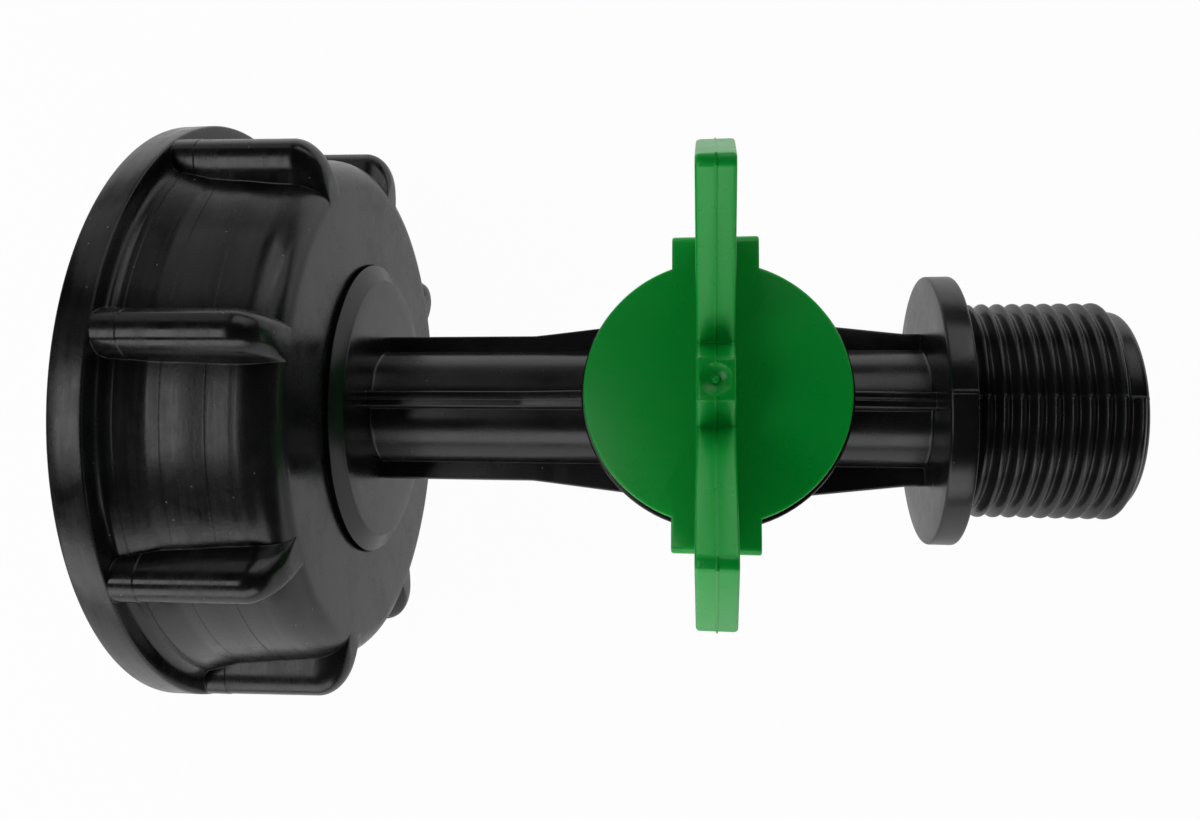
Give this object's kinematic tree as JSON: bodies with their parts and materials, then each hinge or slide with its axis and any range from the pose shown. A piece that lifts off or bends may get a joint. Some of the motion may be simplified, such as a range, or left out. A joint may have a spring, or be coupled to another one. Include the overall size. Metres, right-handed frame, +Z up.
{
  "type": "ibc tank valve",
  "caption": "Moulded quarter-turn plug valve with a green butterfly handle, a large coarse-thread coupling nut and a male pipe-thread outlet, for a bulk liquid container.",
  "frame": {"origin": "centre of the gasket's face that meets the tank, on the axis of the pipe", "axes": "+X along the flow from the tank to the outlet, +Z up along the spindle through the handle"},
  "size_m": [0.1168, 0.0764, 0.0795],
  "materials": {
    "black_plastic": "satin moulded polypropylene",
    "green_plastic": "satin moulded polypropylene",
    "white_plastic": "smooth acetal",
    "seal_rubber": "moulded rubber"
  },
  "bodies": {
    "body": {"valve_body": "black_plastic", "tank_gasket": "seal_rubber"},
    "nut": {"coupling_nut": "black_plastic"},
    "rotor": {"handle": "green_plastic", "plug": "white_plastic", "o_ring_upper": "seal_rubber", "o_ring_lower": "seal_rubber", "port_seal_inlet": "seal_rubber", "port_seal_outlet": "seal_rubber"}
  },
  "joints": [
    {"name": "nut_spin", "type": "hinge", "parent": "body", "child": "nut", "pos_m": [0, 0, 0], "axis": [1, 0, 0], "continuous": true},
    {"name": "handle_turn", "type": "hinge", "parent": "body", "child": "rotor", "pos_m": [0.056, 0, 0], "axis": [0, 0, 1], "range_deg": [0, 90]}
  ]
}
